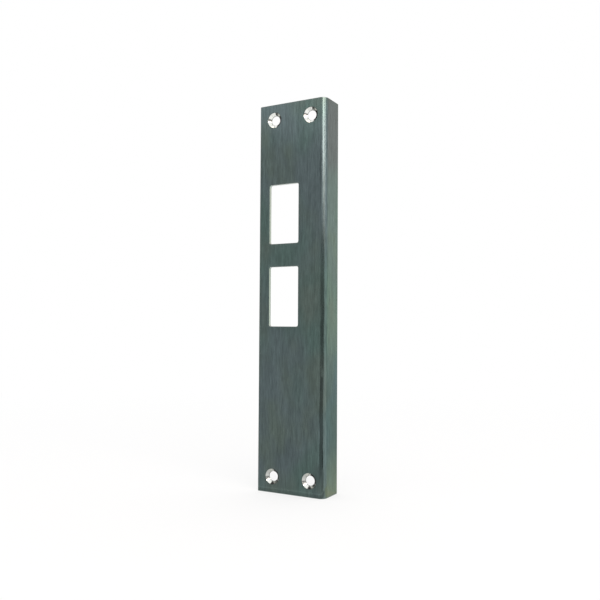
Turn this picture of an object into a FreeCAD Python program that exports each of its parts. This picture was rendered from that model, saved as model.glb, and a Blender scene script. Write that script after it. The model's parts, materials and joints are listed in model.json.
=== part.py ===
import FreeCAD, Part
import math
import os

# A door strike plate: one strip of stainless steel sheet, folded once along its length into an
# angle. The wide face is screwed to the door frame and has two openings, for the latch and the
# bolt. The narrow leg wraps the corner of the frame.
#
# Lengths are in millimetres and angles in degrees. Seen from the front, X runs to the right,
# Y runs into the frame and Z runs up. The origin is at the middle of the four screw holes, on
# the back of the face, which seats on the frame.

# Sheet and fold
SHEET_THICKNESS = 2.0
PLATE_LENGTH = 235.0
FACE_WIDTH = 45.0
LEG_DEPTH = 17.0
FOLD_INNER_RADIUS = 2.0
PLATE_CORNER_RADIUS = 0.5

# Openings for the latch and the bolt
OPENING_WIDTH = 20.0
OPENING_HEIGHT = 36.0
OPENING_SIDE_MARGIN = 7.0
OPENING_BRIDGE = 14.0
OPENING_CORNER_RADIUS = 1.2

# Screw holes, countersunk from the front
SCREW_HOLE_DIAMETER = 5.8
SCREW_SIDE_MARGIN = 10.0
SCREW_END_MARGIN = 9.5
COUNTERSINK_ANGLE = 90.0
COUNTERSINK_LAND = 0.15
COUNTERSINK_RIM_RADIUS = 0.4

# Edges: rolled over by the punch on the front, broken by hand on the back
FRONT_EDGE_RADIUS = 0.25
BACK_EDGE_BREAK = 0.1

# How far a cutter stands out of the sheet on each side, and what counts as touching
CUTTER_OVERRUN = 1.0
TOUCHING = 1e-4

# Places that the sizes give
FRONT_Y = -SHEET_THICKNESS
FREE_EDGE_X = -FACE_WIDTH / 2
LEG_OUTER_X = FACE_WIDTH / 2
LEG_END_Y = FRONT_Y + LEG_DEPTH
END_Z = PLATE_LENGTH / 2
FOLD_OUTER_RADIUS = FOLD_INNER_RADIUS + SHEET_THICKNESS
FOLD_X = LEG_OUTER_X - FOLD_OUTER_RADIUS
FOLD_Y = FRONT_Y + FOLD_OUTER_RADIUS
HOLE_RADIUS = SCREW_HOLE_DIAMETER / 2
CONE_DEPTH = SHEET_THICKNESS - COUNTERSINK_LAND
CONE_SLOPE = math.tan(math.radians(COUNTERSINK_ANGLE / 2))
MOUTH_RADIUS = HOLE_RADIUS + CONE_DEPTH * CONE_SLOPE


def vector(x, y, z):
    return FreeCAD.Vector(x, y, z)


def fold_arc(radius):
    """A quarter circle about the fold's centre, from the face round to the leg."""
    middle = radius * math.cos(math.radians(45))
    face_end = vector(FOLD_X, FOLD_Y - radius, 0)
    halfway = vector(FOLD_X + middle, FOLD_Y - middle, 0)
    leg_end = vector(FOLD_X + radius, FOLD_Y, 0)
    return Part.Arc(face_end, halfway, leg_end).toShape()


def angle_section():
    """The sheet's section: the face, the quarter-round fold and the leg, all one thickness."""
    skin_fold = fold_arc(FOLD_OUTER_RADIUS)
    inner_fold = fold_arc(FOLD_INNER_RADIUS)
    leg_inner_x = LEG_OUTER_X - SHEET_THICKNESS
    corners = [
        vector(FREE_EDGE_X, FRONT_Y, 0),
        vector(FOLD_X, FRONT_Y, 0),
        vector(LEG_OUTER_X, FOLD_Y, 0),
        vector(LEG_OUTER_X, LEG_END_Y, 0),
        vector(leg_inner_x, LEG_END_Y, 0),
        vector(leg_inner_x, FOLD_Y, 0),
        vector(FOLD_X, 0, 0),
        vector(FREE_EDGE_X, 0, 0),
    ]
    edges = [
        Part.makeLine(corners[0], corners[1]),
        skin_fold,
        Part.makeLine(corners[2], corners[3]),
        Part.makeLine(corners[3], corners[4]),
        Part.makeLine(corners[4], corners[5]),
        inner_fold,
        Part.makeLine(corners[6], corners[7]),
        Part.makeLine(corners[7], corners[0]),
    ]
    return Part.Face(Part.Wire(Part.__sortEdges__(edges)))


def is_blank_corner(edge):
    """True for the short edges through the sheet at the four corners of the flat blank."""
    middle = edge.CenterOfMass
    at_end = abs(abs(middle.z) - END_Z) < TOUCHING
    on_free_edge = abs(middle.x - FREE_EDGE_X) < TOUCHING
    on_leg_edge = abs(middle.y - LEG_END_Y) < TOUCHING
    return at_end and (on_free_edge or on_leg_edge)


def folded_sheet():
    """The section drawn out to the plate's length, with the four corners of the blank rounded."""
    section = angle_section()
    section.translate(vector(0, 0, -END_Z))
    sheet = section.extrude(vector(0, 0, PLATE_LENGTH))
    corners = [edge for edge in sheet.Edges if is_blank_corner(edge)]
    return sheet.makeFillet(PLATE_CORNER_RADIUS, corners)


def opening_punch(centre_z):
    """The punch for one opening: a bar through the sheet with rounded corners."""
    corner = vector(
        FREE_EDGE_X + OPENING_SIDE_MARGIN,
        FRONT_Y - CUTTER_OVERRUN,
        centre_z - OPENING_HEIGHT / 2,
    )
    stroke = SHEET_THICKNESS + 2 * CUTTER_OVERRUN
    punch = Part.makeBox(OPENING_WIDTH, stroke, OPENING_HEIGHT, corner)
    long_edges = [edge for edge in punch.Edges if abs(edge.tangentAt(0).y) > 0.5]
    return punch.makeFillet(OPENING_CORNER_RADIUS, long_edges)


def skin_depth(point):
    """How deep a point lies under the plate's outer skin, measured square to the sheet."""
    if point.x <= FOLD_X:
        return point.y - FRONT_Y
    if point.y >= FOLD_Y:
        return LEG_OUTER_X - point.x
    return FOLD_OUTER_RADIUS - math.hypot(point.x - FOLD_X, point.y - FOLD_Y)


def lies_at_depth(face, depth):
    """True for a face of the sheet's outer skin (depth 0) or inner skin (one thickness)."""
    u_first, u_last, v_first, v_last = face.ParameterRange
    middle = face.valueAt((u_first + u_last) / 2, (v_first + v_last) / 2)
    across = face.normalAt((u_first + u_last) / 2, (v_first + v_last) / 2)
    return abs(across.z) < TOUCHING and abs(skin_depth(middle) - depth) < TOUCHING


def rim_edges(plate, depth):
    """The edges where one skin of the sheet ends, round the outline and the openings."""
    skin = [face for face in plate.Faces if lies_at_depth(face, depth)]
    owners = {}
    for face in skin:
        for edge in face.Edges:
            owners.setdefault(edge.hashCode(), []).append(edge)
    return [edges[0] for edges in owners.values() if len(edges) == 1]


def countersunk_hole(centre_x, centre_z):
    """The cutter for one screw hole: its half profile turned about the hole's axis."""
    mouth_y = FRONT_Y - CUTTER_OVERRUN
    exit_y = CUTTER_OVERRUN
    profile = [
        vector(centre_x, mouth_y, centre_z),
        vector(centre_x + MOUTH_RADIUS + CUTTER_OVERRUN * CONE_SLOPE, mouth_y, centre_z),
        vector(centre_x + HOLE_RADIUS, -COUNTERSINK_LAND, centre_z),
        vector(centre_x + HOLE_RADIUS, exit_y, centre_z),
        vector(centre_x, exit_y, centre_z),
    ]
    half_section = Part.Face(Part.makePolygon(profile + profile[:1]))
    return half_section.revolve(vector(centre_x, 0, centre_z), vector(0, 1, 0), 360)


def is_countersink_rim(edge):
    """True for the circle where a countersink meets the front of the face."""
    is_round = isinstance(edge.Curve, Part.Circle)
    return is_round and abs(edge.Curve.Radius - MOUTH_RADIUS) < TOUCHING


def strike_plate():
    """Fold the sheet, punch the openings, ease the edges, then drill and countersink."""
    plate = folded_sheet()
    opening_pitch = OPENING_HEIGHT + OPENING_BRIDGE
    for centre_z in (0.0, opening_pitch):
        plate = plate.cut(opening_punch(centre_z))
    plate = plate.makeFillet(FRONT_EDGE_RADIUS, rim_edges(plate, 0.0))
    plate = plate.makeChamfer(BACK_EDGE_BREAK, rim_edges(plate, SHEET_THICKNESS))

    screw_x = FACE_WIDTH / 2 - SCREW_SIDE_MARGIN
    screw_z = PLATE_LENGTH / 2 - SCREW_END_MARGIN
    for side_x in (-screw_x, screw_x):
        for end_z in (-screw_z, screw_z):
            plate = plate.cut(countersunk_hole(side_x, end_z))
    rims = [edge for edge in plate.Edges if is_countersink_rim(edge)]
    return plate.makeFillet(COUNTERSINK_RIM_RADIUS, rims)


plate = strike_plate()
box = plate.optimalBoundingBox(False, False)
print("strike_plate:", len(plate.Solids), "solid,", "valid" if plate.isValid() else "not valid")
print("size %.2f x %.2f x %.2f mm" % (box.XLength, box.YLength, box.ZLength))
print("volume %.1f mm3" % plate.Volume)
os.makedirs("parts", exist_ok=True)
plate.exportStep("parts/strike_plate.step")
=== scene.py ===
# %% [markdown]
# # A folded door strike plate
#
# A door's latch and bolt shoot into this plate. The real one is a strip of stainless steel that is
# punched, drilled and brushed while it is flat, and then folded once along its length. The lesson
# works in the same order: it lays out the flat blank, gives each cut edge its true section, folds
# the whole blank with one formula, and then gives the metal its finishes.
#
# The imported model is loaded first. It stays where it is, and the new piece is built around it.

# %% Load the frame
import json
import math

import bpy
import numpy as np
from mathutils import Matrix, Vector


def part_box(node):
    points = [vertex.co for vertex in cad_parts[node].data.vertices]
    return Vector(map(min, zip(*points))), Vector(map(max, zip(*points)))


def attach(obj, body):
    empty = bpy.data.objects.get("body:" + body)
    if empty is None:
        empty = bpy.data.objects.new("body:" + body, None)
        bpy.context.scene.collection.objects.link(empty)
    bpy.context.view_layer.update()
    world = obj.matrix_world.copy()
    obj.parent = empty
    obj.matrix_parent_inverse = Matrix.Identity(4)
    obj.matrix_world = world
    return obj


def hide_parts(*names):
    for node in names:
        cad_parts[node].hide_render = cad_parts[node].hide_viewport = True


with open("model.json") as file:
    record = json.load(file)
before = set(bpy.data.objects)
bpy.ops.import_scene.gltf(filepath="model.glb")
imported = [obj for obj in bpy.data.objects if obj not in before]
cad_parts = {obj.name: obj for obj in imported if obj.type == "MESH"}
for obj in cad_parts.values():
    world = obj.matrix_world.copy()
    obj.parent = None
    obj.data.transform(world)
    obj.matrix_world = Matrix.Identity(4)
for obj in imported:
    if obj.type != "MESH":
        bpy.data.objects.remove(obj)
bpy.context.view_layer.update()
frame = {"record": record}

# %% [markdown]
# ## What the frame already knows
#
# The overall sizes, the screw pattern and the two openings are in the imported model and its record,
# so they are read from there and rounded to a thousandth of a millimetre. The small radii that no
# record holds are named below. All are in millimetres, like a workshop drawing, and the lesson turns
# to metres only when the mesh is made.

# %% Sizes of the plate
MM = 0.001
DECIMALS = 3

FOLD_INNER_RADIUS = 2.0
PLATE_CORNER_RADIUS = 0.5
OPENING_CORNER_RADIUS = 1.2
OPENING_CLEARANCE = 0.4
FRONT_ROLL_RADIUS = 0.25
BACK_BREAK = 0.1
COUNTERSINK_RIM_RADIUS = 0.4
COUNTERSINK_LAND = 0.15

plate_low, plate_high = (np.round(np.array(corner) / MM, DECIMALS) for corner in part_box("strike_plate"))
free_edge_x = plate_low[0]
front_y = plate_low[1]
end_z = plate_high[2]
face_width = plate_high[0] - plate_low[0]
leg_depth = plate_high[1] - plate_low[1]
sheet_thickness = -front_y

fold_radius = FOLD_INNER_RADIUS + sheet_thickness
fold_line = face_width - fold_radius
fold_length = fold_radius * math.pi / 2
leg_line = fold_line + fold_length
blank_width = leg_line + leg_depth - fold_radius
print("blank %.2f x %.2f x %.2f mm" % (blank_width, 2 * end_z, sheet_thickness))
print("fold from %.2f to %.2f mm across" % (fold_line, leg_line))

# %% Screw holes and openings, from the record
record = frame["record"]
screw_pattern = next(mount for mount in record["mounts"] if mount["name"] == "screw_holes")["dims"]
screw_radius = screw_pattern["hole_r_mm"]
screws_across = np.array([-0.5, 0.5]) * screw_pattern["spacing_x_mm"] - free_edge_x
screws_along = np.array([-0.5, 0.5]) * screw_pattern["spacing_y_mm"]


def opening_on_blank(name):
    """The opening's lowest and highest corner on the blank: its box in the record and its clearance."""
    low, high = next(box["box_m"] for box in record["physics"]["openings"] if box["name"] == name)
    corners = np.array([[low[0], low[2]], [high[0], high[2]]]) / MM - [free_edge_x, 0]
    return np.round(corners + [[-OPENING_CLEARANCE], [OPENING_CLEARANCE]], DECIMALS)


openings = [opening_on_blank(name) for name in ("bolt_opening", "latch_opening")]
print("screw holes at", screws_across, "across and", screws_along, "along")
for name, (low, high) in zip(("bolt", "latch"), openings):
    print("the %s's opening runs from %s to %s on the blank" % (name, low, high))

# %% [markdown]
# ## One formula folds the whole blank
#
# A press brake turns everything past the fold line, whatever has been cut into it. The same idea
# keeps this model simple. Every surface is drawn on the flat blank with three numbers: how far
# across from the free edge, how far along, and how deep under the outer skin. The fold then carries
# points and directions to their places, so the face, the fold and the leg are one sheet with one
# thickness. A Simple Deform modifier could bend a mesh too, but its fold has no radius to measure.

# %% Fold
def fold_angle(across):
    """How far the sheet has turned: the way past the fold line over the skin's radius, up to 90 degrees."""
    return np.clip(across - fold_line, 0, fold_length) / fold_radius


def fold_points(across, along, deep):
    """Points of the blank on the folded plate. A point keeps its place up to the fold line. In the fold
    it stands on a circle about the fold's axis, with the skin's radius less the depth. Past the fold,
    what is left of the way runs straight down the leg."""
    angle = fold_angle(across)
    reach = fold_radius - deep
    x = free_edge_x + np.minimum(across, fold_line) + reach * np.sin(angle)
    y = front_y + fold_radius - reach * np.cos(angle) + np.maximum(across - leg_line, 0)
    return np.stack(np.broadcast_arrays(x, y, along), -1)


def fold_directions(across, direction):
    """Directions on the blank, as (across, along, deeper), turned by the fold's angle at their points."""
    angle = fold_angle(across)
    over, along, deeper = np.moveaxis(direction, -1, 0)
    x = over * np.cos(angle) - deeper * np.sin(angle)
    y = over * np.sin(angle) + deeper * np.cos(angle)
    return np.stack(np.broadcast_arrays(x, y, along), -1)


print("the leg's outer edge folds to x %.2f, y %.2f mm" % tuple(fold_points(blank_width, 0.0, 0.0)[:2]))

# %% [markdown]
# ## Lines on the blank
#
# Each skin of the sheet is a grid of lines across and lines along. The spacing follows the shape:
# close beside the edges, one line every 5 degrees over the fold, and through each screw hole a fan
# of lines, placed where rays at equal angles from its centre cross a square round it. With the fan,
# the ring of faces round a hole comes out even, which an evenly spaced grid can't give.

# %% Grid lines
FAN_STEPS = 16
SCREW_SQUARE = 6.0
OPENING_COLLAR = 3.0
EDGE_LINES = np.array([PLATE_CORNER_RADIUS, 1.0, 2.0])
EDGE_STEP = 1.0
FACE_STEP = 1.7
LEG_STEP = 1.6
OPENING_STEP = 2.0
PLAIN_STEP = 3.0
FOLD_STEP = fold_radius * math.radians(5)
SLACK = 1e-6


def even_lines(start, stop, longest):
    """Evenly spaced lines from start, no further apart than the longest step, without the one at stop."""
    count = math.ceil((stop - start) / longest - SLACK)
    return np.linspace(start, stop, count + 1)[:-1]


def fan_lines(centre):
    """Lines at the centre plus half a square's side times the tangent of even angles, -45 to 45 degrees."""
    angles = np.radians(np.linspace(-45, 45, FAN_STEPS + 1))
    return (centre + SCREW_SQUARE * np.tan(angles))[:-1]


grid_across = np.concatenate([
    EDGE_LINES[:-1],
    even_lines(EDGE_LINES[-1], screws_across[0] - SCREW_SQUARE, EDGE_STEP),
    fan_lines(screws_across[0]),
    even_lines(screws_across[0] + SCREW_SQUARE, screws_across[1] - SCREW_SQUARE, FACE_STEP),
    fan_lines(screws_across[1]),
    even_lines(fold_line, leg_line, FOLD_STEP),
    even_lines(leg_line, blank_width - EDGE_LINES[-1], LEG_STEP),
    blank_width - EDGE_LINES[::-1],
])

opening_ends = sorted(end for opening in openings for end in opening[:, 1])
collar_ends = np.array(opening_ends) + OPENING_COLLAR * np.array([-1, 1, -1, 1])
lower_end = np.concatenate([EDGE_LINES, fan_lines(screws_along[0]) + end_z]) - end_z
grid_along = np.concatenate([
    lower_end,
    even_lines(screws_along[0] + SCREW_SQUARE, collar_ends[0], PLAIN_STEP),
    even_lines(collar_ends[0], collar_ends[1], OPENING_STEP),
    even_lines(collar_ends[1], collar_ends[2], OPENING_STEP),
    even_lines(collar_ends[2], collar_ends[3], OPENING_STEP),
    even_lines(collar_ends[3], screws_along[1] - SCREW_SQUARE, PLAIN_STEP),
    [screws_along[1] - SCREW_SQUARE],
    -lower_end[::-1],
])
print(len(grid_across), "lines across,", len(grid_along), "lines along")

# %% [markdown]
# ## Rims: where the metal ends
#
# The outline, an opening and a screw hole are the same thing to a maker: an edge with a section.
# So each becomes a rim, a loop of points on the blank that knows which way the air lies. A rim can
# be asked for its loop at any inset, which is how far back into the metal it runs. Straight sides
# and round corners come from one rule: a spine of points, plus a radius in a direction that swings
# round at the corners.

# %% Rim
SIDE_OUT = np.array([[0, -1], [1, 0], [0, 1], [-1, 0]], float)
SIDE_WAY = np.array([[1, 0], [0, 1], [-1, 0], [0, -1]], float)


class Rim:
    """An edge of the blank. Its loop is the spine plus the direction times a length: the radius less the
    inset where the metal lies inside the loop (side 1), and the radius plus it where outside (side -1)."""

    def __init__(self, spine, direction, radius, side):
        self.spine = np.concatenate([spine, spine[:1]])
        self.direction = np.concatenate([direction, direction[:1]])
        self.radius = radius
        self.side = side

    def loops(self, insets):
        """One closed loop for each inset, as rows."""
        lengths = self.radius - self.side * np.asarray(insets, float)
        return self.spine + lengths[:, None, None] * self.direction

    def to_air(self):
        """The direction out of the metal at each point of the loop."""
        return self.side * self.direction

    def way_round(self):
        """How far each point of the loop is from its first point, in millimetres round the edge."""
        loop = self.loops([0.0])[0]
        return np.concatenate([[0.0], np.cumsum(np.linalg.norm(np.diff(loop, axis=0), axis=1))])


def lean(side, degrees):
    """Directions that lean from a side's outward direction towards its way round, by these angles."""
    angle = np.radians(degrees)[:, None]
    return np.cos(angle) * SIDE_OUT[side] + np.sin(angle) * SIDE_WAY[side]


def rectangle_sides(lines_across, lines_along):
    """Grid points round a rectangle, counter-clockwise: four sides, each without its last point."""
    left, right = lines_across[0], lines_across[-1]
    low, high = lines_along[0], lines_along[-1]
    return [
        np.stack(np.broadcast_arrays(lines_across[:-1], low), 1),
        np.stack(np.broadcast_arrays(right, lines_along[:-1]), 1),
        np.stack(np.broadcast_arrays(lines_across[:0:-1], high), 1),
        np.stack(np.broadcast_arrays(left, lines_along[:0:-1]), 1),
    ]


print("outward from the first side, at 0 and 45 degrees:", lean(0, np.array([0.0, 45.0])).round(3).tolist())

# %% The outline's rim
OUTLINE_CORNER_STEPS = 6


def outline_rim():
    """The spine is the grid's own border. At each corner one spine point serves a fan of directions."""
    spine, direction = [], []
    for side, points in enumerate(rectangle_sides(grid_across, grid_along)):
        swing = np.linspace(-90, 0, OUTLINE_CORNER_STEPS + 1)[:-1]
        spine += [np.repeat(points[:1], len(swing), 0), points]
        direction += [lean(side, swing), lean(side, np.zeros(len(points)))]
    return Rim(np.concatenate(spine), np.concatenate(direction), PLATE_CORNER_RADIUS, 1)


outline = outline_rim()
print("the outline is %.1f mm round" % outline.way_round()[-1])

# %% Rims of the openings
OPENING_CORNER_STEPS = 3


def lines_between(lines, low, high):
    """The grid lines from low to high, both included."""
    return lines[(lines > low - SLACK) & (lines < high + SLACK)]


def opening_collar(opening):
    """The grid's border round an opening, as the sides of a rectangle."""
    low, high = opening
    left = screws_across[0] - SCREW_SQUARE
    right = screws_across[1] - SCREW_SQUARE
    across = lines_between(grid_across, left, right)
    along = lines_between(grid_along, low[1] - OPENING_COLLAR, high[1] + OPENING_COLLAR)
    return rectangle_sides(across, along)


def opening_rim(opening):
    """As many points on each side as its collar has. The spine is a rectangle one corner radius inside
    the opening, and the direction swings 45 degrees over the few points beside each corner."""
    centre, half = opening.mean(0), (opening[1] - opening[0]) / 2 - OPENING_CORNER_RADIUS
    spine, direction = [], []
    for side, points in enumerate(opening_collar(opening)):
        step, last = np.arange(len(points)), len(points) - OPENING_CORNER_STEPS
        before = 1 - np.minimum(step / OPENING_CORNER_STEPS, 1)
        after = np.maximum(step - last, 0) / OPENING_CORNER_STEPS
        slide = np.clip((step - OPENING_CORNER_STEPS) / (last - OPENING_CORNER_STEPS), 0, 1) * 2 - 1
        spine.append(centre + half * (SIDE_OUT[side] + slide[:, None] * SIDE_WAY[side]))
        direction.append(lean(side, 45 * (after - before)))
    return Rim(np.concatenate(spine), np.concatenate(direction), OPENING_CORNER_RADIUS, -1)


opening_rims = [opening_rim(opening) for opening in openings]
print("each opening is %.1f mm round" % opening_rims[0].way_round()[-1])

# %% Rims of the screw holes
def screw_collar(centre):
    """The grid's border round a screw hole, a square, as its four sides."""
    across = lines_between(grid_across, centre[0] - SCREW_SQUARE, centre[0] + SCREW_SQUARE)
    along = lines_between(grid_along, centre[1] - SCREW_SQUARE, centre[1] + SCREW_SQUARE)
    return rectangle_sides(across, along)


def screw_rim(centre):
    """A circle: the spine is the hole's centre, and each direction points at a point of the collar."""
    rays = np.concatenate(screw_collar(centre)) - centre
    direction = rays / np.linalg.norm(rays, axis=1, keepdims=True)
    return Rim(np.zeros_like(rays) + centre, direction, screw_radius, -1)


screw_centres = [np.array([across, along]) for across in screws_across for along in screws_along]
screw_rims = [screw_rim(centre) for centre in screw_centres]
print(len(screw_rims), "screw holes of %.1f mm" % (2 * screw_radius))

# %% [markdown]
# ## The sections of the edges
#
# A punch drags the skin down before it shears the metal, so the front edge of a punched hole is a
# small roll. Below it is the straight shear, and on the back a broken corner. A countersink is a
# cone that ends in a short land, and the belt that brushes the skin dresses its mouth round. Each
# section is a list of stretches, and each stretch gives insets, depths and the way it faces: 0
# degrees is the front, 90 the air and 180 the back. The cone is 90 degrees wide, so it faces 45, and
# it narrows by as much as it deepens. Separate stretches keep a crisp line between a wall and a
# chamfer without any bevel modifier.

# %% Edge sections
BRUSHED, MILL, SHEARED, COUNTERSUNK = range(4)
ROLL_STEPS = 6
WALL_STEPS = 6
CONE_STEPS = 8
CONE_FACING = 45.0


def arc_stretch(radius, mouth, degrees, finish):
    """A quarter or less of a circle from the front skin down: the inset falls with the angle's sine, and
    the depth grows with one less its cosine."""
    angle = np.radians(np.linspace(0, degrees, ROLL_STEPS + 1))
    return mouth - radius * np.sin(angle), radius * (1 - np.cos(angle)), np.degrees(angle), finish


def straight_stretch(start, stop, steps, facing, finish):
    """A straight run from one (inset, depth) to another, all facing one way."""
    share = np.linspace(0, 1, steps + 1)
    inset, depth = (first + (last - first) * share for first, last in zip(start, stop))
    return inset, depth, np.full(steps + 1, facing), finish


wall_foot = sheet_thickness - BACK_BREAK
sheared_section = [
    arc_stretch(FRONT_ROLL_RADIUS, FRONT_ROLL_RADIUS, 90.0, BRUSHED),
    straight_stretch((0, FRONT_ROLL_RADIUS), (0, wall_foot), WALL_STEPS, 90.0, SHEARED),
    straight_stretch((0, wall_foot), (BACK_BREAK, sheet_thickness), 1, 135.0, SHEARED),
]

cone_depth = sheet_thickness - COUNTERSINK_LAND
mouth_inset = cone_depth + COUNTERSINK_RIM_RADIUS * math.tan(math.radians(CONE_FACING / 2))
rim_foot = COUNTERSINK_RIM_RADIUS * (1 - math.cos(math.radians(CONE_FACING)))
cone_top, cone_foot = (cone_depth - rim_foot, rim_foot), (0, cone_depth)
countersink_section = [
    arc_stretch(COUNTERSINK_RIM_RADIUS, mouth_inset, CONE_FACING, BRUSHED),
    straight_stretch(cone_top, cone_foot, CONE_STEPS, CONE_FACING, COUNTERSUNK),
    straight_stretch(cone_foot, (0, sheet_thickness), 1, 90.0, COUNTERSUNK),
]
print("countersinks are %.2f mm across at the face" % (2 * (screw_radius + mouth_inset)))

# %% [markdown]
# ## Laying the surfaces
#
# A surface of the plate is now a grid of rows and columns on the blank. A rim's wall is its section
# carried round its loop. A collar runs from a rim to the grid's border round it, and a skin is the
# grid itself with the collars' rectangles left out. Each surface also notes which way it faces, so
# the shading is exact, and its place on the drawing, which becomes the UV map. Two more notes are
# for the finishes: how far each point is from a punched edge, and how far the fold has turned there.

# %% Surfaces of the sheet
surfaces = []


def distance_to_edge(blank):
    """How far a point of the blank is from the nearest punched edge, never under zero. Beside an opening
    it is the length of what is left of the way to its middle, less half the opening each way."""
    across, along = blank[..., 0], blank[..., 1]
    gaps = [across, blank_width - across, end_z - abs(along)]
    for low, high in openings:
        beside = np.maximum(abs(blank - (low + high) / 2) - (high - low) / 2, 0)
        gaps.append(np.linalg.norm(beside, axis=-1))
    return np.maximum(np.min(gaps, axis=0), 0)


def lay_surface(blank, deep, facing, drawing, finish, kept=None):
    """Notes one surface: its points on the blank, their depth, directions, drawing places and finish."""
    rows, columns = blank.shape[:2]
    if kept is None:
        kept = np.ones((rows - 1, columns - 1), bool)
    surfaces.append({
        "points": fold_points(blank[..., 0], blank[..., 1], deep).reshape(-1, 3),
        "normals": fold_directions(blank[..., 0], facing).reshape(-1, 3),
        "drawing": np.broadcast_to(drawing, (rows, columns, 2)).reshape(-1, 2),
        "edge": distance_to_edge(blank).ravel(),
        "turn": fold_angle(blank[..., 0]).ravel() / math.radians(90),
        "shape": (rows, columns),
        "kept": kept,
        "finish": finish,
    })


def lay_wall(rim, section):
    """Carries a section round a rim. A stretch that faces so many degrees from the front points that
    angle's sine towards the air and its cosine to the front."""
    round_way = rim.way_round()
    for insets, depths, degrees, finish in section:
        facing = np.radians(degrees)[:, None, None]
        toward = np.broadcast_to(rim.to_air() * np.sin(facing), (len(insets), len(round_way), 2))
        deeper = np.broadcast_to(-np.cos(facing), toward.shape[:2] + (1,))
        drawing = np.stack(np.broadcast_arrays(round_way, depths[:, None]), -1)
        lay_surface(rim.loops(insets), depths[:, None], np.concatenate([toward, deeper], -1), drawing, finish)


for rim in [outline, *opening_rims]:
    lay_wall(rim, sheared_section)
for rim in screw_rims:
    lay_wall(rim, countersink_section)
print(len(surfaces), "surfaces of edges")

# %% Collars, margins and skins
COLLAR_GRADING = np.array([0, 0.05, 0.12, 0.25, 0.45, 0.7, 1])


def lay_skin_patch(blank, deep, finish, kept=None):
    """A patch of a flat skin: the front one faces the viewer, the back one deeper."""
    facing = np.zeros(blank.shape[:2] + (3,))
    facing[..., 2] = 1 if deep else -1
    lay_surface(blank, deep, facing, blank, finish, kept)


def lay_collar(rim, inset, sides, deep, finish):
    """Straight ways from each point of the rim to its point on the grid's border, short steps first."""
    border = np.concatenate([*sides, sides[0][:1]])
    start = rim.loops([inset])
    lay_skin_patch(start + (border - start) * COLLAR_GRADING[:, None, None], deep, finish)


def outside_collars():
    """True for the grid's faces that lie in no collar's rectangle, by the middles of the faces."""
    middle_across = (grid_across[1:] + grid_across[:-1]) / 2
    middle_along = (grid_along[1:] + grid_along[:-1]) / 2
    kept = np.ones((len(middle_across), len(middle_along)), bool)
    for sides in [*map(opening_collar, openings), *map(screw_collar, screw_centres)]:
        low, high = sides[0][0], sides[2][0]
        inside_across = (middle_across > low[0]) & (middle_across < high[0])
        inside_along = (middle_along > low[1]) & (middle_along < high[1])
        kept &= ~np.outer(inside_across, inside_along)
    return kept


blank_grid = np.stack(np.meshgrid(grid_across, grid_along, indexing="ij"), -1)
for deep, finish, edge_inset, screw_inset in (
    (0.0, BRUSHED, FRONT_ROLL_RADIUS, mouth_inset),
    (sheet_thickness, MILL, BACK_BREAK, 0.0),
):
    lay_skin_patch(blank_grid, deep, finish, outside_collars())
    lay_skin_patch(outline.loops([PLATE_CORNER_RADIUS, edge_inset]), deep, finish)
    for rim, opening in zip(opening_rims, openings):
        lay_collar(rim, edge_inset, opening_collar(opening), deep, finish)
    for rim, centre in zip(screw_rims, screw_centres):
        lay_collar(rim, screw_inset, screw_collar(centre), deep, finish)
print(len(surfaces), "surfaces in all")

# %% [markdown]
# ## Joining the surfaces into one closed mesh
#
# Neighbouring surfaces were given the same points along their shared lines, so joining them is only
# a matter of finding equal points. Points are rounded to a ten-thousandth of a millimetre and equal
# ones become one vertex. A face that has lost a corner, as at the plate's rounded corners, is a
# triangle. Each face is turned so that it looks the way its surface faces. The exact directions are
# kept as custom normals, so a small roll shades as a true arc with only six steps.

# %% Join
WELD = 1e-4


def grid_faces(surface, first):
    """The four corners of each kept face of a grid of points, turned to agree with the directions."""
    rows, columns = surface["shape"]
    number = np.arange(rows * columns).reshape(rows, columns)
    corners = np.stack([number[:-1, :-1], number[:-1, 1:], number[1:, 1:], number[1:, :-1]], -1)
    corners = corners[surface["kept"]]
    point = surface["points"][corners]
    looks = np.cross(point[:, 2] - point[:, 0], point[:, 3] - point[:, 1])
    agrees = (looks * surface["normals"][corners].sum(1)).sum(1) > 0
    return np.where(agrees[:, None], corners, corners[:, ::-1]) + first


def joined(key):
    """One list out of all the surfaces' own lists."""
    return np.concatenate([surface[key] for surface in surfaces])


starts = np.cumsum([0] + [len(surface["points"]) for surface in surfaces])
faces = np.concatenate([grid_faces(surface, start) for surface, start in zip(surfaces, starts)])
face_finish = np.concatenate([np.full(surface["kept"].sum(), surface["finish"]) for surface in surfaces])

first_spot, spot_of = np.unique(
    np.round(joined("points") / WELD).astype(np.int64), axis=0, return_index=True, return_inverse=True
)[1:]
vertex_of = spot_of.reshape(-1)[faces]
real_corner = vertex_of != np.roll(vertex_of, 1, axis=1)
solid_face = real_corner.sum(1) > 2
faces, vertex_of = faces[solid_face], vertex_of[solid_face]
real_corner, face_finish = real_corner[solid_face], face_finish[solid_face]

used, vertex_of = np.unique(vertex_of, return_inverse=True)
vertex_of = vertex_of.reshape(faces.shape)
vertices = joined("points")[first_spot[used]] * MM
vertex_edge = joined("edge")[first_spot[used]]
vertex_turn = joined("turn")[first_spot[used]]
print(len(vertices), "vertices,", len(faces), "faces")

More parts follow.
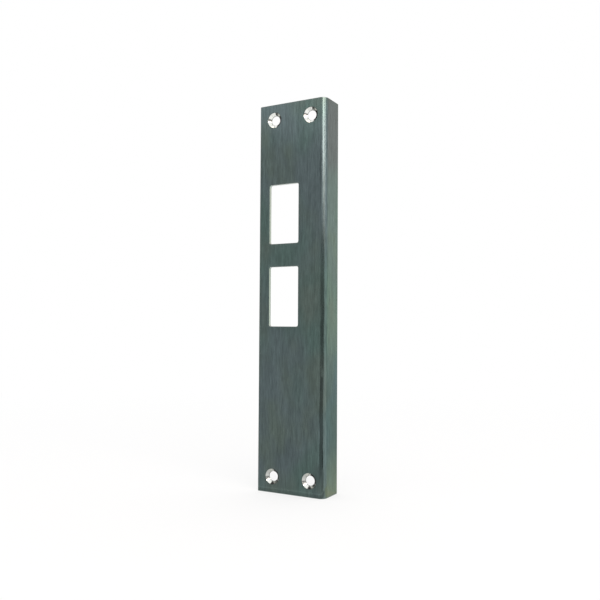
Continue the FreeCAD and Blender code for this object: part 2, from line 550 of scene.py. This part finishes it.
# %% Mesh
def plate_mesh():
    """Fills a mesh from the arrays: vertices, corners of the faces, finishes, the drawing as UV map in
    metres, two notes at each vertex for the finishes, and the exact directions as custom normals."""
    mesh = bpy.data.meshes.new("finished_plate")
    corner_vertex = vertex_of[real_corner]
    corner_point = faces[real_corner]
    face_start = np.concatenate([[0], np.cumsum(real_corner.sum(1))[:-1]])
    mesh.vertices.add(len(vertices))
    mesh.vertices.foreach_set("co", vertices.ravel())
    mesh.loops.add(len(corner_vertex))
    mesh.loops.foreach_set("vertex_index", corner_vertex)
    mesh.polygons.add(len(faces))
    mesh.polygons.foreach_set("loop_start", face_start)
    mesh.polygons.foreach_set("material_index", face_finish)
    mesh.update(calc_edges=True)
    drawing = mesh.uv_layers.new(name="drawing")
    drawing.uv.foreach_set("vector", joined("drawing")[corner_point].ravel() * MM)
    for name, values in (("edge_distance", vertex_edge), ("fold_turn", vertex_turn)):
        note = mesh.attributes.new(name, "FLOAT", "POINT")
        note.data.foreach_set("value", values)
    mesh.polygons.foreach_set("use_smooth", np.ones(len(faces), bool))
    mesh.normals_split_custom_set(joined("normals")[corner_point])
    return mesh


finished_plate = bpy.data.objects.new("finished_plate", plate_mesh())
bpy.context.collection.objects.link(finished_plate)
print("finished_plate carries", [layer.name for layer in finished_plate.data.uv_layers], "and two notes")

# %% Check of the mesh
def faces_per_edge():
    """How many faces share each edge: sides of faces with their two vertices in order, counted."""
    next_corner, corner_after = np.roll(vertex_of, -1, axis=1), np.roll(vertex_of, -2, axis=1)
    following = np.where(np.roll(real_corner, -1, axis=1), next_corner, corner_after)
    sides = np.sort(np.stack([vertex_of, following], -1)[real_corner], axis=-1)
    return np.unique(sides, axis=0, return_counts=True)[1]


def enclosed_volume():
    """The sum of the little pyramids from the origin to each face, in cubic millimetres."""
    point = joined("points")[faces]
    first = (point[:, 0] * np.cross(point[:, 1], point[:, 2])).sum(1)
    second = (point[:, 0] * np.cross(point[:, 2], point[:, 3])).sum(1)
    return (first + second).sum() / 6


shares = faces_per_edge()
print("edges with other than two faces:", (shares != 2).sum())
print("volume %.0f mm3, and the solid has %.0f" % (enclosed_volume(), record["physics"]["volume_m3"] / MM**3))
print("mesh needed mending:", finished_plate.data.validate())

# %% [markdown]
# ## A way to write finishes
#
# A finish in Blender is a network of nodes. Drawn by hand it is hard to read, so here it is written
# as sums. A `Reading` is a number that changes over the metal: adding or multiplying readings adds
# the Math nodes. Every other node comes from one method, which takes the kind of node, its
# settings, and what goes into its sockets.

# %% Finishes as sums
class Reading:
    """A number, colour or direction read at each point of the metal, held by a socket of a finish."""

    def __init__(self, finish, socket):
        self.finish = finish
        self.socket = socket

    def sum(self, operation, first, second):
        """Adds the Math node for one operation on two readings or numbers."""
        return self.finish.node("ShaderNodeMath", {"operation": operation}, {0: first, 1: second})

    def __add__(self, other):
        return self.sum("ADD", self, other)

    def __sub__(self, other):
        return self.sum("SUBTRACT", self, other)

    def __rsub__(self, other):
        return self.sum("SUBTRACT", other, self)

    def __mul__(self, other):
        return self.sum("MULTIPLY", self, other)

    def __abs__(self):
        return self.sum("ABSOLUTE", self, 0.0)

    __radd__ = __add__
    __rmul__ = __mul__


class Finish:
    """A material or a world, and the one method that adds a node to it."""

    def __init__(self, owner):
        owner.use_nodes = True
        self.owner = owner
        self.tree = owner.node_tree
        self.tree.nodes.clear()

    def node(self, kind, settings, values, output=0):
        """Adds a node: first its settings, then a value or a reading for each socket. Gives its output."""
        node = self.tree.nodes.new(kind)
        for setting, choice in settings.items():
            setattr(node, setting, choice)
        for socket, value in values.items():
            if isinstance(value, Reading):
                self.tree.links.new(value.socket, node.inputs[socket])
            else:
                node.inputs[socket].default_value = value
        return Reading(self, node.outputs[output]) if len(node.outputs) else None

    def noise(self, place, size, seed, detail=2.0):
        """Cloudy noise, 0.5 on average, with patches of the given millimetres along X, Y and Z."""
        scale = [1 / (length * MM) for length in size]
        shift = (seed, -seed, seed / 2)
        spread = self.node("ShaderNodeMapping", {}, {"Vector": place, "Location": shift, "Scale": scale})
        return self.node("ShaderNodeTexNoise", {}, {"Vector": spread, "Scale": 1.0, "Detail": detail})

    def step(self, value, low, high):
        """0 below the low value, 1 above the high one, and a smooth ramp between."""
        ramp = {"interpolation_type": "SMOOTHSTEP"}
        return self.node("ShaderNodeMapRange", ramp, {0: value, 1: low, 2: high})

    def blend(self, share, first, second):
        """The first colour turned into the second by a share from 0 to 1."""
        return self.node("ShaderNodeMix", {"data_type": "RGBA"}, {0: share, 6: first, 7: second}, 2)

    def scaled(self, colour, level):
        """A colour made lighter or darker by a number."""
        return self.node("ShaderNodeVectorMath", {"operation": "SCALE"}, {0: colour, 3: level})

    def bump(self, height, depth):
        """A normal for a relief whose height, from 0 to 1, stands for the given depth in millimetres."""
        return self.node("ShaderNodeBump", {}, {"Height": height, "Distance": depth * MM})

    def metal(self, values):
        """Ends a material as metal, and says how large its network is."""
        shader = self.node("ShaderNodeBsdfPrincipled", {}, {"Metallic": 1.0, **values})
        self.node("ShaderNodeOutputMaterial", {}, {"Surface": shader})
        print(self.owner.name, "has", len(self.tree.nodes), "nodes")
        return self.owner


def screen_colour(red, green, blue):
    """A colour as a screen shows it, 0 to 255, in the linear light that shaders work in."""
    shown = np.array([red, green, blue]) / 255
    light = np.where(shown > 0.04045, ((shown + 0.055) / 1.055) ** 2.4, shown / 12.92)
    return (*light.tolist(), 1.0)


print("a screen grey of 128 is", round(screen_colour(128, 128, 128)[0], 3), "in linear light")

# %% [markdown]
# ## The brushed skin
#
# A belt brushes the sheet along its length, so its scratches are long, fine and all one way. They
# are noise drawn out along Z at three widths, read from Object coordinates, and because the two
# short directions are equal the same noise runs over the face, round the fold and down the leg.
# The steel isn't one grey: violet and brown tints lie over its teal in large, faint clouds. Along
# the outline and the openings the skin is lighter and smoother, by the distance to the nearest punched
# edge kept in the mesh. The lighter colour there is partly wear, where hands and doors rub, and
# partly a painted highlight, the shine of the edges painted into the colour.
#
# Light spreads across the scratches and hardly along them. The shader's Anisotropic does that, and
# its own direction, round the Z axis, is already square to the scratches here. The press rubs the
# outside of the fold smooth, so there the shine is tighter, by the fold's turn kept in the mesh.

# %% Brushed skin
TEAL = screen_colour(97, 118, 113)
VIOLET = screen_colour(104, 118, 120)
BROWN = screen_colour(104, 118, 112)
# The edge colour: lighter for wear and for a painted highlight of the edges.
EDGE_SHEEN_AND_WEAR = screen_colour(132, 144, 139)


def brushed_skin():
    """Three widths of scratches, two clouds of tint, worn edges with a painted highlight, and the burnished
    fold.
    """
    finish = Finish(bpy.data.materials.new("brushed_skin"))
    place = finish.node("ShaderNodeTexCoord", {}, {}, "Object")
    broad = finish.noise(place, (1.4, 1.4, 14.0), 3.1)
    middle = finish.noise(place, (0.6, 0.6, 6.0), 7.7)
    fine = finish.noise(place, (0.2, 0.2, 4.0), 12.3)
    grain = 0.35 * broad + 0.4 * middle + 0.25 * fine

    violet_cloud = finish.step(finish.noise(place, (45.0, 45.0, 60.0), 2.5), 0.4, 0.62)
    brown_cloud = finish.step(finish.noise(place, (22.0, 22.0, 36.0), 33.9), 0.42, 0.68)
    colour = finish.blend(violet_cloud, TEAL, VIOLET)
    colour = finish.blend(brown_cloud, colour, BROWN)
    colour = finish.scaled(colour, 0.1 + 1.8 * grain)

    edge = finish.node("ShaderNodeAttribute", {"attribute_name": "edge_distance"}, {}, "Fac")
    # Within 0.7 mm of a punched edge the colour turns lighter: wear, and a painted highlight of the edge.
    edge_sheen_and_wear = (1.0 - finish.step(edge, 0.0, 0.7)) * (0.2 + 0.8 * middle)
    colour = finish.blend(edge_sheen_and_wear, colour, EDGE_SHEEN_AND_WEAR)
    turn = finish.node("ShaderNodeAttribute", {"attribute_name": "fold_turn"}, {}, "Fac")
    burnished = finish.step(turn * (1.0 - turn), 0.0, 0.16)
    return finish.metal({
        "Base Color": colour,
        "Roughness": 0.18 + 0.08 * grain - 0.04 * edge_sheen_and_wear - 0.055 * burnished,
        "Anisotropic": 0.9,
        "Normal": finish.bump(0.5 * middle + 0.5 * fine, 0.006),
    })


skin_finish = brushed_skin()

# %% [markdown]
# ## The mill back
#
# Nobody brushes the side that seats on the door frame. It keeps the finish of the rolling mill: a
# finer, softer grey, faintly drawn along the sheet, with a few stray handling marks.

# %% Mill back
MILL_GREY = screen_colour(118, 126, 123)
MILL_SHADE = screen_colour(103, 112, 110)


def mill_back():
    """Clouds and a fine orange peel, with scratches where a drawn-out noise is highest."""
    finish = Finish(bpy.data.materials.new("mill_back"))
    place = finish.node("ShaderNodeTexCoord", {}, {}, "Object")
    cloud = finish.noise(place, (14.0, 14.0, 50.0), 5.2, 3.0)
    orange_peel = finish.noise(place, (0.25, 0.25, 0.6), 9.4, 3.0)
    scratch = finish.step(finish.noise(place, (0.5, 0.5, 22.0), 14.8, 4.0), 0.66, 0.74)
    colour = finish.blend(cloud, MILL_GREY, MILL_SHADE)
    colour = finish.scaled(colour, 0.9 + 0.2 * orange_peel + 0.12 * scratch)
    return finish.metal({
        "Base Color": colour,
        "Roughness": 0.3 + 0.16 * cloud + 0.06 * orange_peel,
        "Normal": finish.bump(orange_peel - 0.5 * scratch, 0.004),
    })


back_finish = mill_back()

# %% [markdown]
# ## Sheared edges
#
# A punch leaves two bands on the wall that it cuts: a burnished one under the front skin, drawn
# smooth along the stroke, and a torn, matt one below, where the metal broke. They follow the depth,
# so they are read from the drawing, the UV map whose second number is the depth on every wall.

# %% Sheared edge
BURNISHED = screen_colour(214, 220, 214)
TORN = screen_colour(186, 192, 186)


def sheared_edge():
    """Burnished above and torn below, with a ragged line between at about half the sheet's depth."""
    finish = Finish(bpy.data.materials.new("sheared_edge"))
    drawing = finish.node("ShaderNodeUVMap", {"uv_map": "drawing"}, {}, "UV")
    depth = finish.node("ShaderNodeSeparateXYZ", {}, {"Vector": drawing}, "Y")
    stroke = finish.noise(drawing, (0.14, 2.5, 1.0), 2.6, 3.0)
    tear = finish.noise(drawing, (0.18, 0.12, 1.0), 8.3, 4.0)
    ragged = finish.noise(drawing, (1.3, 9.0, 1.0), 6.1)
    torn = finish.step(depth + 0.5 * MM * ragged, 1.05 * MM, 1.3 * MM)
    colour = finish.scaled(finish.blend(torn, BURNISHED, TORN), 0.8 + 0.4 * stroke)
    return finish.metal({
        "Base Color": colour,
        "Roughness": 0.24 + 0.12 * stroke + 0.2 * torn,
        "Normal": finish.bump((1.0 - torn) * stroke + 1.6 * torn * tear, 0.012),
    })


wall_finish = sheared_edge()

# %% [markdown]
# ## Countersinks
#
# The countersink is cut last, after the brushing, so it is the brightest metal on the plate. The
# cutter leaves rings about the hole's axis. At the foot of the cone a faint dark line is painted,
# a painted shade where the cone meets the hole. All four holes are equally far from the plate's
# middle, so one sum gives the distance to the nearest axis: take the sizes of x and z, subtract the
# hole's place, and measure the length of what is left. Noise along that one number makes the rings.

# %% Countersink
BRIGHT_CUT = screen_colour(250, 251, 246)
DULL_CUT = screen_colour(232, 234, 228)
# A darker grey for the foot of the cone: painted shade where the cone meets the hole.
PAINTED_FOOT_SHADE = screen_colour(140, 144, 138)


def turned_countersink():
    """Rings by the distance from the hole's axis, a faint smear, and painted shade at the foot."""
    finish = Finish(bpy.data.materials.new("turned_countersink"))
    place = finish.node("ShaderNodeTexCoord", {}, {}, "Object")
    x = finish.node("ShaderNodeSeparateXYZ", {}, {"Vector": place}, "X")
    z = finish.node("ShaderNodeSeparateXYZ", {}, {"Vector": place}, "Z")
    beside = abs(x) - screw_pattern["spacing_x_mm"] / 2 * MM
    above = abs(z) - screw_pattern["spacing_y_mm"] / 2 * MM
    arm = finish.node("ShaderNodeCombineXYZ", {}, {"X": beside, "Y": above})
    ring = finish.node("ShaderNodeVectorMath", {"operation": "LENGTH"}, {0: arm}, "Value")
    along_ring = finish.node("ShaderNodeCombineXYZ", {}, {"X": ring})
    rings = finish.noise(along_ring, (0.16, 1.0, 1.0), 4.4, 3.0)
    smear = finish.noise(place, (1.6, 1.6, 1.6), 10.7)
    # The foot of the cone is painted darker: a painted shade in the bottom of the countersink.
    foot = 1.0 - finish.step(ring, (screw_radius + 0.05) * MM, (screw_radius + 0.3) * MM)
    cut = finish.blend(0.6 * rings + 0.4 * smear, BRIGHT_CUT, DULL_CUT)
    return finish.metal({
        "Base Color": finish.blend(foot, cut, PAINTED_FOOT_SHADE),
        "Roughness": 0.1 + 0.07 * rings + 0.04 * smear + 0.05 * foot,
        "Normal": finish.bump(rings, 0.002),
    })


hole_finish = turned_countersink()

# %% Dress the plate
for plate_finish in (skin_finish, back_finish, wall_finish, hole_finish):
    finished_plate.data.materials.append(plate_finish)

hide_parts("strike_plate")
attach(finished_plate, "root")
print("finishes:", [material.name for material in finished_plate.data.materials])

# %% [markdown]
# ## A plain studio
#
# Metal shows the room more than itself, so the room is part of the picture. The world is plain
# white at strength 1, at which a colour renders about as it is written. The plate stands on a pale
# floor. To the camera and in the metal the floor glows: nearly white by the plate, and fully white
# further off, so no horizon shows. The rest of it is a plain matt paint that keeps the plate's
# shadow.

# %% World and floor
WHITE = (1.0, 1.0, 1.0, 1.0)
FLOOR_REACH = 4.0
FLOOR_PAINT = (0.9, 0.9, 0.9, 1.0)
NEAR_GLOW = 0.7
FADE_FROM = 0.15
FADE_TO = 0.7


def white_world():
    """A plain white world at strength 1."""
    finish = Finish(bpy.data.worlds.new("studio_white"))
    light = finish.node("ShaderNodeBackground", {}, {"Color": WHITE, "Strength": 1.0})
    finish.node("ShaderNodeOutputWorld", {}, {"Surface": light})
    return finish.owner


def floor_paint():
    """Matt paint that glows to the camera and in reflections, by a share that grows with the distance."""
    finish = Finish(bpy.data.materials.new("floor_paint"))
    camera = finish.node("ShaderNodeLightPath", {}, {}, "Is Camera Ray")
    glossy = finish.node("ShaderNodeLightPath", {}, {}, "Is Glossy Ray")
    clear = finish.node("ShaderNodeLightPath", {}, {}, "Is Transmission Ray")
    place = finish.node("ShaderNodeTexCoord", {}, {}, "Object")
    away = finish.node("ShaderNodeVectorMath", {"operation": "LENGTH"}, {0: place}, "Value")
    glowing = NEAR_GLOW + (1.0 - NEAR_GLOW) * finish.step(away, FADE_FROM, FADE_TO)
    paint = finish.node("ShaderNodeBsdfDiffuse", {}, {"Color": FLOOR_PAINT})
    glow = finish.node("ShaderNodeEmission", {}, {"Color": WHITE, "Strength": 1.0})
    share = glowing * (camera + glossy + clear)
    both = finish.node("ShaderNodeMixShader", {}, {0: share, 1: paint, 2: glow})
    finish.node("ShaderNodeOutputMaterial", {}, {"Surface": both})
    return finish.owner


def grid_object(name, points, material):
    """A mesh object from a grid of points, rows by columns, in metres."""
    rows, columns = points.shape[:2]
    number = np.arange(rows * columns).reshape(rows, columns)
    corners = np.stack([number[:-1, :-1], number[:-1, 1:], number[1:, 1:], number[1:, :-1]], -1)
    mesh = bpy.data.meshes.new(name)
    mesh.from_pydata(points.reshape(-1, 3).tolist(), [], corners.reshape(-1, 4).tolist())
    mesh.materials.append(material)
    made = bpy.data.objects.new(name, mesh)
    bpy.context.collection.objects.link(made)
    return made


bpy.context.scene.world = white_world()
floor_z = -end_z * MM
floor_x, floor_y = np.meshgrid([-FLOOR_REACH, FLOOR_REACH], [-FLOOR_REACH, FLOOR_REACH])
grid_object("floor", np.stack([floor_x, floor_y, np.full((2, 2), floor_z)], -1), floor_paint())
print("floor at z %.4f m" % floor_z)

# %% [markdown]
# ## A soft lamp and grey cards
#
# A photographer lights metal with large soft lamps, and sets grey cards about it, so that it has
# something dark to show as well. Here a lamp's level is how bright it looks beside the white world,
# and its power follows from that: level times pi times its area.
#
# A card is a sheet of points round the plate, worked out from two angles, from an angle and a
# distance or, beside the plate's foot, from x and y. It glows at a level of its own, or turns from
# one shade into another. Only reflections see it, so it lights nothing, casts no shadow and never
# shows in a picture. To place a card, follow the line from the camera to the metal and on to where
# the metal mirrors it.

# %% Lamp
def round_place(azimuth, elevation, distance):
    """A place that far from the plate's middle: azimuth 0 is in front of the face and 90 beside the leg.
    Its height is the distance times the elevation's sine, and its way over the floor is the distance
    times the elevation's cosine."""
    turn, rise = np.radians(azimuth), np.radians(elevation)
    away = distance * np.cos(rise)
    place = away * np.sin(turn), -away * np.cos(turn), distance * np.sin(rise)
    return np.stack(np.broadcast_arrays(*place), -1)


def soft_lamp(name, azimuth, elevation, distance, width, height, level, tint):
    """A rectangular lamp that looks at the plate's middle."""
    lamp = bpy.data.lights.new(name, "AREA")
    lamp.shape = "RECTANGLE"
    lamp.size = width
    lamp.size_y = height
    lamp.color = tint
    lamp.energy = level * math.pi * width * height
    made = bpy.data.objects.new(name, lamp)
    made.location = round_place(azimuth, elevation, distance)
    made.rotation_euler = Vector(-made.location).to_track_quat("-Z", "Y").to_euler()
    made.visible_camera = False
    bpy.context.collection.objects.link(made)
    print("%s: %.1f W over %.2f m2" % (name, lamp.energy, width * height))


soft_lamp(
    "front_right_lamp", azimuth=53.0, elevation=26.5, distance=1.4,
    width=1.09, height=0.45, level=4.4, tint=(1.0, 0.87, 0.8),
)

# %% Cards
CARD_LIFT = 0.5 * MM
CARD_COLUMNS = 24
CARD_ROWS = 12


def card_paint(name, low, high):
    """A glow that turns from one colour into another up the card, read from its UV map."""
    finish = Finish(bpy.data.materials.new(name))
    place = finish.node("ShaderNodeUVMap", {"uv_map": "card"}, {}, "UV")
    up = finish.node("ShaderNodeSeparateXYZ", {}, {"Vector": place}, "Y")
    colour = finish.blend(up, (*low, 1.0), (*high, 1.0))
    glow = finish.node("ShaderNodeEmission", {}, {"Color": colour, "Strength": 1.0})
    finish.node("ShaderNodeOutputMaterial", {}, {"Surface": glow})
    return finish.owner


def grey_card(name, places, low, high=None):
    """A card that only reflections see. It turns from its low shade at its first row of points into its
    high one at the last, and a shade is a level or a colour. With one shade it is even all over."""
    first, last = (np.broadcast_to(shade, 3).tolist() for shade in (low, low if high is None else high))
    card = grid_object(name, places, card_paint(name, first, last))
    rows, columns = places.shape[:2]
    share = np.stack(np.meshgrid(np.linspace(0, 1, columns), np.linspace(0, 1, rows)), -1).reshape(-1, 2)
    corner = np.empty(len(card.data.loops), np.int32)
    card.data.loops.foreach_get("vertex_index", corner)
    card.data.uv_layers.new(name="card").uv.foreach_set("vector", share[corner].ravel())
    card.visible_camera = False
    card.visible_diffuse = False
    card.visible_shadow = False
    print(name, "level", low, "" if high is None else "to %s" % (high,))


def round_card(name, azimuths, elevations, distance, *shades):
    """A card that stands round the plate, between two azimuths and two elevations."""
    turn, rise = np.meshgrid(np.linspace(*azimuths, CARD_COLUMNS), np.linspace(*elevations, CARD_ROWS))
    grey_card(name, round_place(turn, rise, distance), *shades)


def floor_card(name, azimuths, reach, *shades):
    """A card that lies on the floor, between two azimuths and two distances."""
    turn, away = np.meshgrid(np.linspace(*azimuths, CARD_COLUMNS), np.linspace(*reach, CARD_ROWS))
    places = round_place(turn, 0.0, away)
    places[..., 2] = floor_z + CARD_LIFT
    grey_card(name, places, *shades)


def floor_patch(name, across, out, lift, *shades):
    """A small card just above the floor beside the plate, between two x and two y in millimetres."""
    x, y = np.meshgrid(across, out)
    grey_card(name, np.stack([x * MM, y * MM, np.full((2, 2), floor_z + lift * MM)], -1), *shades)


def low_strip(name, azimuths, distance, height, *shades):
    """A low strip of card that stands on the floor, between two azimuths."""
    turn, up = np.meshgrid(np.linspace(*azimuths, CARD_COLUMNS), [0.0, height])
    places = round_place(turn, 0.0, distance)
    places[..., 2] = floor_z + CARD_LIFT + up
    grey_card(name, places, *shades)


print("floor cards lie %.1f mm above the floor" % (CARD_LIFT / MM))

# %% [markdown]
# ## What the face mirrors
#
# From this camera the face mirrors the front left. A card of a middling grey there gives the
# brushed steel its dark tone, and it fades to white above, so the face is lighter at its top. The
# patches and the strip keep the tone down to the plate's foot.

# %% Cards for the face
round_card("front_left_card", (-75, 27), (-24, 18.8), 1.1, 0.62)
round_card("front_left_fade", (-75, 20), (18.8, 25.0), 1.1, 0.55, 1.2)
floor_card("front_floor_card", (-52, -12), (0.2, 1.1), 0.63)
floor_patch("left_patch", (-110, -2), (-10, -95), 0.7, 0.6)
floor_patch("toe_patch", (-30, 40), (-1.85, -10), 0.3, 0.5, 0.58)
low_strip("left_strip", (-52, -12), 0.10, 0.030, 0.55, 0.61)

# %% [markdown]
# ## What the fold mirrors
#
# A round edge mirrors the whole front of the room in a few millimetres, drawn out into lines. The
# lamp becomes the bright line down the upper part of the fold, and a card below the lamp makes that
# line fade out. Darker cards beside the camera and low strips by the foot give the dark line.

# %% Cards for the fold
round_card("lamp_fade", (36, 74), (5.5, 17.5), 1.2, 0.4, (4.2, 3.75, 3.45))
round_card("camera_side_low", (3, 66), (-16, -2), 1.0, 0.25)
round_card("camera_side_high", (3, 66), (-2, 9.5), 1.0, 0.27, 0.36)
round_card("camera_side_edge", (46, 66), (2, 9.5), 0.97, 0.36, 0.8)
round_card("camera_side_top", (3, 44), (9.5, 13), 1.0, 0.36, 0.9)
round_card("above_near_card", (-8, 5), (16, 26), 0.43, 0.2)
floor_card("far_floor_card", (2, 20), (0.2, 0.8), 0.08)
floor_patch("right_patch", (-2, 90), (-10, -95), 0.7, 0.65, 0.2)
low_strip("middle_strip", (4, 16), 0.10, 0.016, 0.25)
low_strip("far_strip", (4, 16), 0.15, 0.062, 0.3)
low_strip("right_strip", (16, 64), 0.10, 0.063, 0.3)

# %% [markdown]
# ## What the leg mirrors
#
# The leg mirrors the back right, which is pale, so the leg is lighter than the face. Its cards are
# faintly tinted: rosy above, greener towards the floor and yellowish by the leg's own foot.

# %% Cards for the leg
ROSY = (0.88, 0.79, 0.74)
LEAFY = (0.93, 1.0, 0.87)
NEAR_FLOOR = (0.92, 0.97, 0.77)
DIM_FLOOR = (0.58, 0.69, 0.68)
FAR_FLOOR = (0.8, 0.91, 0.91)
LEG_FOOT = (1.0, 0.97, 0.75)

round_card("back_right_card", (115, 185), (16.5, 45), 1.1, ROSY)
round_card("back_green_card", (120, 180), (-4, 16.5), 1.1, LEAFY)
floor_card("back_floor_near", (120, 180), (0.03, 0.18), NEAR_FLOOR, DIM_FLOOR)
floor_card("back_floor_far", (120, 180), (0.18, 3.0), DIM_FLOOR, FAR_FLOOR)
floor_patch("leg_patch", (22.7, 46), (2, 50), 0.4, LEG_FOOT)

# %% [markdown]
# ## What the countersinks mirror
#
# A countersink is a little cone of bright metal, so it mirrors the room all round the plate in one
# ring. In a white room the ring would be white, and wouldn't read as a hollow. These cards are
# nearly black and give each ring its dark wedge and its dark right side. The pale one in front of
# the lamp's top keeps most of the lamp out of the ring.

# %% Cards for the countersinks
NEARLY_BLACK = 0.03

round_card("lamp_notch", (53.5, 61), (-3, 26), 0.8, 0.08)
round_card("lamp_cover", (56, 62), (27.5, 44), 0.8, 0.95)
round_card("back_left_card", (-145, -68), (-40, 45), 1.2, NEARLY_BLACK)
round_card("above_front_card", (-22, 8), (25, 52), 1.1, NEARLY_BLACK)
round_card("above_left_card", (-95, -25), (34, 75), 1.15, NEARLY_BLACK)
floor_card("left_floor_card", (-98, -66), (0.15, 0.8), NEARLY_BLACK)
floor_card("second_bounce_card", (-12, 2), (0.3, 0.48), 0.12)
floor_card("back_left_floor_card", (-145, -95), (0.03, 0.2), NEARLY_BLACK)
floor_patch("hidden_patch", (-60, 18), (3, 40), 0.7, NEARLY_BLACK)
low_strip("wedge_strip", (50, 65), 0.098, 0.013, NEARLY_BLACK)

# %% [markdown]
# ## The camera
#
# The camera's place and lens were worked out from the plate's corners, openings and holes in the
# photograph. It stands to the right of the face, a little below the middle, and looks slightly up.

# %% Camera
CAMERA_PLACE = (204.6, -360.3, -17.7)
CAMERA_TURN = 29.0
CAMERA_TILT = 2.16
CAMERA_ROLL = 0.32
CAMERA_LENS = 41.5
CAMERA_SENSOR = 36.0
CAMERA_NEAREST = 10.0

camera = bpy.data.objects.new("camera", bpy.data.cameras.new("camera"))
camera.data.lens = CAMERA_LENS
camera.data.sensor_width = CAMERA_SENSOR
camera.data.clip_start = CAMERA_NEAREST * MM
turn = Matrix.Rotation(math.radians(CAMERA_TURN), 4, "Z")
tilt = Matrix.Rotation(math.radians(90 + CAMERA_TILT), 4, "X")
roll = Matrix.Rotation(math.radians(CAMERA_ROLL), 4, "Z")
camera.matrix_world = Matrix.Translation(Vector(CAMERA_PLACE) * MM) @ turn @ tilt @ roll
bpy.context.collection.objects.link(camera)
bpy.context.scene.camera = camera
bpy.context.scene.view_settings.view_transform = "Standard"
print("camera %.0f mm from the plate's middle" % Vector(CAMERA_PLACE).length)
